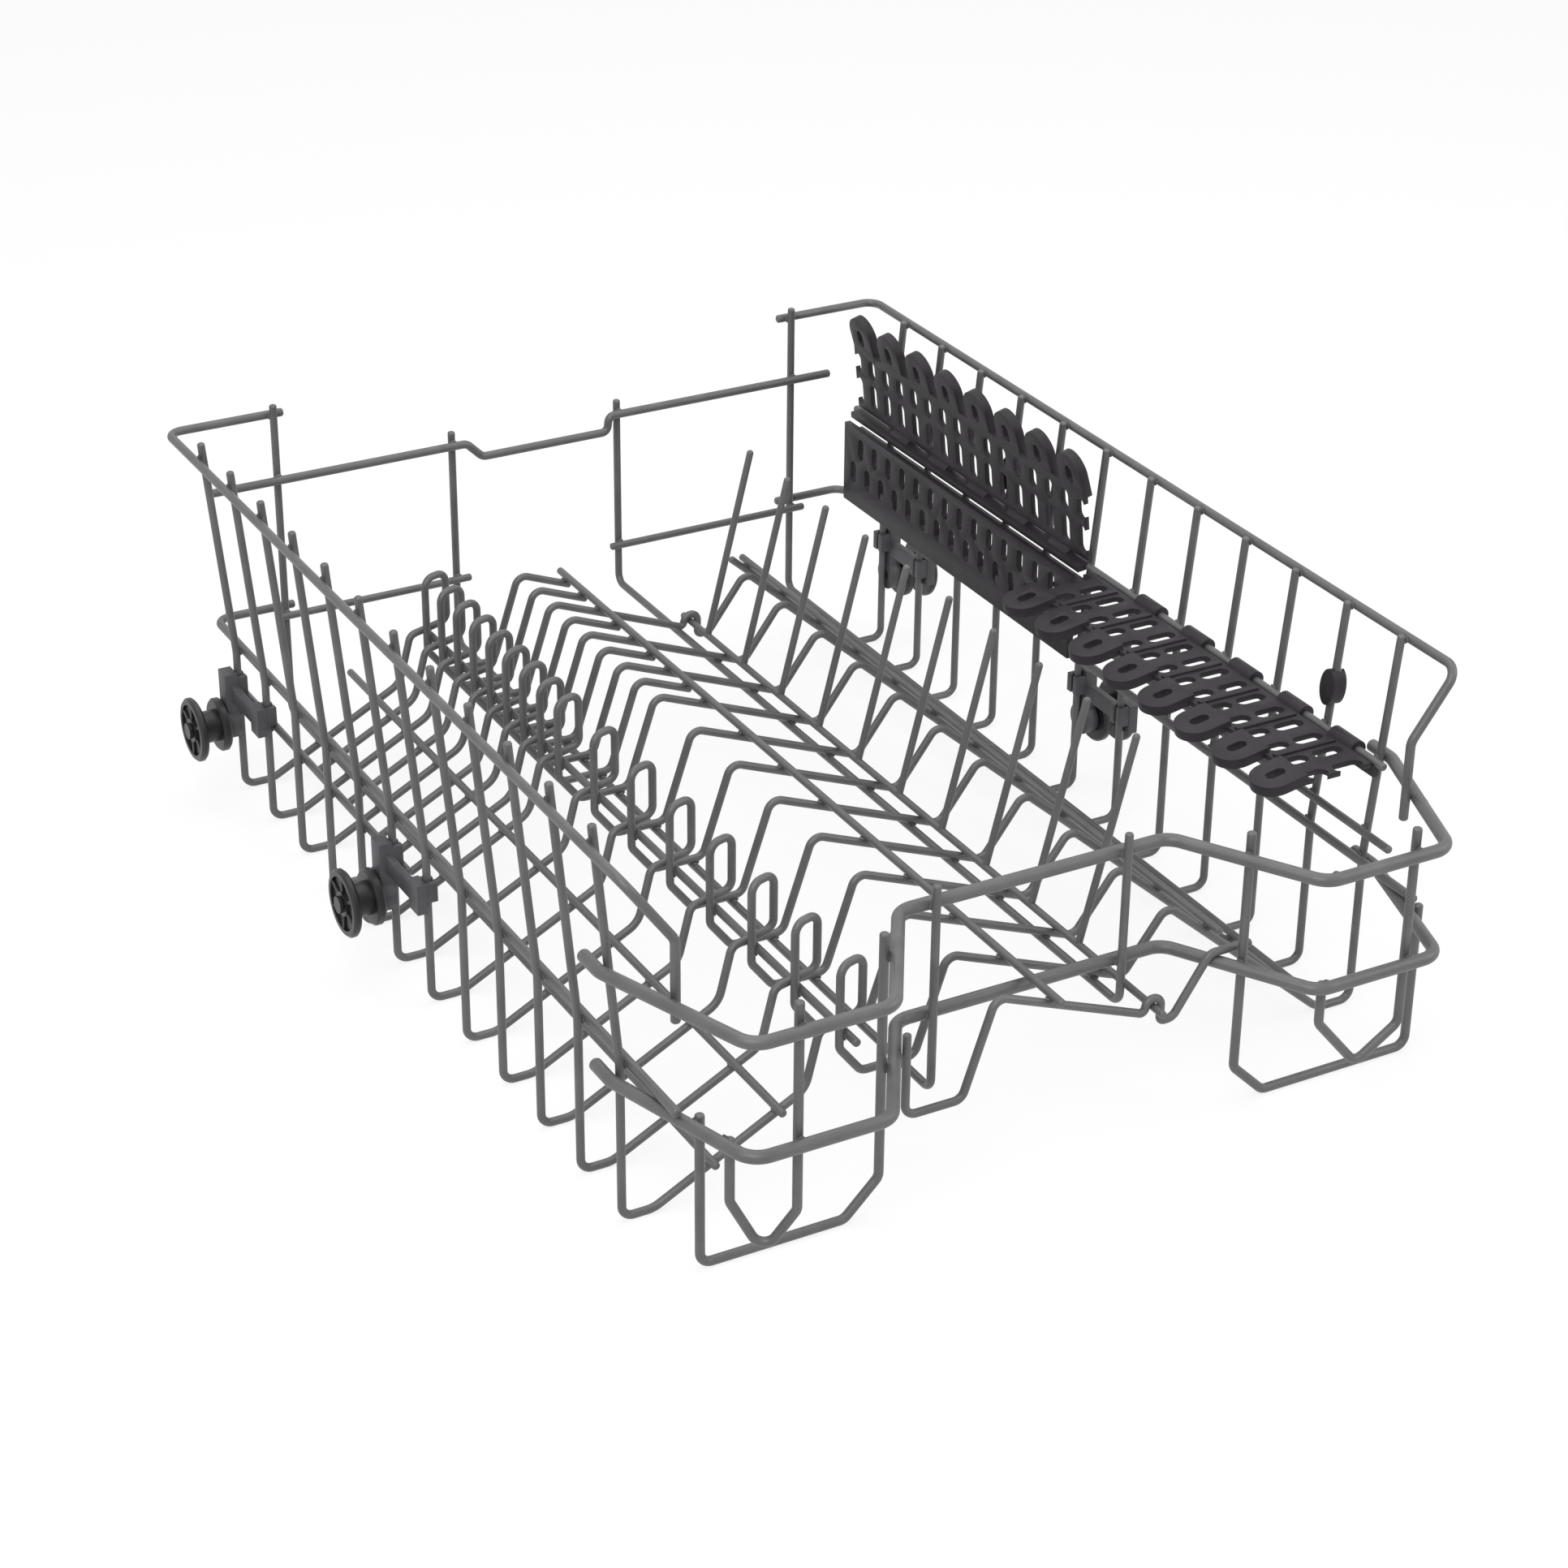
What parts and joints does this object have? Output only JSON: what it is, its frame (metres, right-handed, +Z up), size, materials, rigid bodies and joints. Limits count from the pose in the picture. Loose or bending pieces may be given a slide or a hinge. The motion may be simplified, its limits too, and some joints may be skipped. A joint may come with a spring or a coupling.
{
  "type": "dishwasher upper rack",
  "caption": "Pull-out upper rack of a slimline dishwasher: coated wire basket with a stepped floor, folding tines, hinged cup shelves and grooved side rollers.",
  "frame": {"origin": "centre of the rack's footprint, at the bottom of the ribs", "axes": "+Z up, +Y towards the back of the machine, +X to the right seen from the front"},
  "size_m": [0.3956, 0.5094, 0.1761],
  "materials": {
    "wire_coating": "satin grey coating",
    "rail_coating": "satin grey coating",
    "tine_coating": "satin grey coating",
    "shelf_plastic": "matt",
    "roller_plastic": "satin",
    "carrier_plastic": "satin",
    "pin_plastic": "satin"
  },
  "bodies": {
    "basket": {"front_left_axle": "pin_plastic", "front_left_roller_carrier": "carrier_plastic", "front_lower_rail": "rail_coating", "front_rib": "wire_coating", "front_right_axle": "pin_plastic", "front_right_roller_carrier": "carrier_plastic", "front_shelf_catch": "shelf_plastic", "front_upper_rail": "rail_coating", "left_carrier_wire": "wire_coating", "left_centre_wire": "wire_coating", "left_corner_brace": "wire_coating", "left_floor_wire": "wire_coating", "left_front_foot": "wire_coating", "left_lower_back_wire": "wire_coating", "left_lower_ring": "wire_coating", "left_rear_post": "wire_coating", "left_top_rim": "wire_coating", "loop_wire": "wire_coating", "plateau_wire": "wire_coating", "rear_left_axle": "pin_plastic", "rear_left_roller_carrier": "carrier_plastic", "rear_right_axle": "pin_plastic", "rear_right_roller_carrier": "carrier_plastic", "rear_shelf_catch": "shelf_plastic", "rear_shelf_skirt": "shelf_plastic", "rib_01_left": "wire_coating", "rib_01_right": "wire_coating", "rib_02": "wire_coating", "rib_03": "wire_coating", "rib_04": "wire_coating", "rib_05": "wire_coating", "rib_06": "wire_coating", "rib_07": "wire_coating", "rib_08": "wire_coating", "rib_09": "wire_coating", "rib_10": "wire_coating", "rib_11": "wire_coating", "rib_12": "wire_coating", "rib_between_1": "wire_coating", "rib_between_2": "wire_coating", "rib_between_3": "wire_coating", "rib_between_4": "wire_coating", "ridge_wire": "wire_coating", "right_centre_wire": "wire_coating", "right_corner_brace": "wire_coating", "right_front_foot": "wire_coating", "right_lower_back_wire": "wire_coating", "right_lower_ring": "wire_coating", "right_rear_post": "wire_coating", "right_top_rim": "wire_coating", "right_wall_wire": "wire_coating", "shelf_hinge_wire": "wire_coating", "upper_back_wire": "wire_coating"},
    "tine_row": {"folding_tine_row": "tine_coating"},
    "rear_shelf": {"rear_cup_shelf": "shelf_plastic"},
    "front_shelf": {"front_cup_shelf": "shelf_plastic"},
    "rear_left_wheel": {"rear_left_roller": "roller_plastic"},
    "rear_right_wheel": {"rear_right_roller": "roller_plastic"},
    "front_left_wheel": {"front_left_roller": "roller_plastic"},
    "front_right_wheel": {"front_right_roller": "roller_plastic"}
  },
  "joints": [
    {"name": "tine_fold", "type": "hinge", "parent": "basket", "child": "tine_row", "pos_m": [0.04435, 0, 0.05377], "axis": [0, -1, 0], "range_deg": [0, 75]},
    {"name": "rear_shelf_fold", "type": "hinge", "parent": "basket", "child": "rear_shelf", "pos_m": [0.17195, 0, 0.11534], "axis": [0, -1, 0], "range_deg": [0, 84]},
    {"name": "front_shelf_fold", "type": "hinge", "parent": "basket", "child": "front_shelf", "pos_m": [0.17195, 0, 0.11534], "axis": [0, 1, 0], "range_deg": [0, 84]},
    {"name": "rear_left_spin", "type": "hinge", "parent": "basket", "child": "rear_left_wheel", "pos_m": [-0.1882, 0.21695, 0.036], "axis": [1, 0, 0], "continuous": true},
    {"name": "rear_right_spin", "type": "hinge", "parent": "basket", "child": "rear_right_wheel", "pos_m": [0.1882, 0.21695, 0.036], "axis": [1, 0, 0], "continuous": true},
    {"name": "front_left_spin", "type": "hinge", "parent": "basket", "child": "front_left_wheel", "pos_m": [-0.1882, 0.03695, 0.036], "axis": [1, 0, 0], "continuous": true},
    {"name": "front_right_spin", "type": "hinge", "parent": "basket", "child": "front_right_wheel", "pos_m": [0.1882, 0.03695, 0.036], "axis": [1, 0, 0], "continuous": true}
  ]
}
